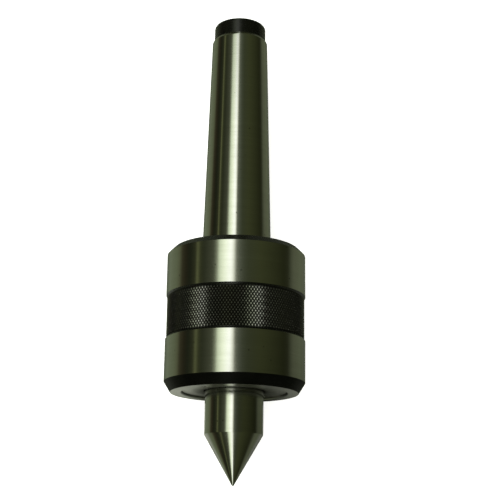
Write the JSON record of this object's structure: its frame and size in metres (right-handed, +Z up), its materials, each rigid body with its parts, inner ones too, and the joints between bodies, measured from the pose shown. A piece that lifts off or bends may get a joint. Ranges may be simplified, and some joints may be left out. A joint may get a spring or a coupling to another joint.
{
  "type": "live center",
  "caption": "Tailstock live center: a 60 degree point on a ball bearing spindle in a knurled round head, with a tapered shank.",
  "frame": {"origin": "on the axis at the gauge plane of the taper shank", "axes": "+Y along the axis from the point towards the tail of the shank, +Z up, +X to the right when looking along +Y"},
  "size_m": [0.0483, 0.1669, 0.0482],
  "materials": {
    "housing_steel": "ground bands and taper, black oxide on the knurl, chamfers and tail stub",
    "ground_steel": "fine ground, near mirror",
    "turned_steel": "faced, with fine turning marks",
    "black_oxide": "black oxide, satin",
    "bearing_steel": "polished",
    "spring_steel": "satin",
    "cage_brass": "machined",
    "seal_rubber": "matte"
  },
  "bodies": {
    "body": {"housing": "housing_steel", "cover_nut": "turned_steel", "cover_o_ring": "seal_rubber", "nut_lock_screw": "black_oxide", "shaft_seal_case": "spring_steel", "shaft_seal_lip": "seal_rubber", "seal_garter_spring": "spring_steel", "front_bearing_outer_ring": "bearing_steel", "outer_spacer": "turned_steel", "middle_bearing_outer_ring": "bearing_steel", "thrust_housing_washer": "bearing_steel", "disc_springs": "spring_steel", "needle_bearing_cup": "bearing_steel"},
    "spindle": {"spindle": "ground_steel", "front_bearing_inner_ring": "bearing_steel", "inner_spacer": "turned_steel", "middle_bearing_inner_ring": "bearing_steel", "spindle_circlip": "spring_steel", "thrust_spacer": "turned_steel", "thrust_shaft_washer": "bearing_steel"},
    "front_ball_set": {"front_bearing_cage": "cage_brass", "front_bearing_balls": "bearing_steel"},
    "middle_ball_set": {"middle_bearing_cage": "cage_brass", "middle_bearing_balls": "bearing_steel"},
    "thrust_ball_set": {"thrust_cage": "cage_brass", "thrust_balls": "bearing_steel"},
    "needle_set": {"needle_bearing_cage": "spring_steel", "needle_rollers": "bearing_steel"}
  },
  "joints": [
    {"name": "spindle_spin", "type": "hinge", "parent": "body", "child": "spindle", "pos_m": [0, -0.055, 0], "axis": [0, 1, 0], "continuous": true},
    {"name": "front_cage_spin", "type": "hinge", "parent": "body", "child": "front_ball_set", "pos_m": [0, -0.0422, 0], "axis": [0, 1, 0], "continuous": true},
    {"name": "middle_cage_spin", "type": "hinge", "parent": "body", "child": "middle_ball_set", "pos_m": [0, -0.0282, 0], "axis": [0, 1, 0], "continuous": true},
    {"name": "thrust_cage_spin", "type": "hinge", "parent": "body", "child": "thrust_ball_set", "pos_m": [0, -0.0155, 0], "axis": [0, 1, 0], "continuous": true},
    {"name": "needle_cage_spin", "type": "hinge", "parent": "body", "child": "needle_set", "pos_m": [0, -0.0032, 0], "axis": [0, 1, 0], "continuous": true}
  ],
  "couplings": [
    {"joint": "front_cage_spin", "follows": "spindle_spin", "ratio": 0.40842},
    {"joint": "middle_cage_spin", "follows": "spindle_spin", "ratio": 0.40842},
    {"joint": "thrust_cage_spin", "follows": "spindle_spin", "ratio": 0.5},
    {"joint": "needle_cage_spin", "follows": "spindle_spin", "ratio": 0.44822}
  ]
}
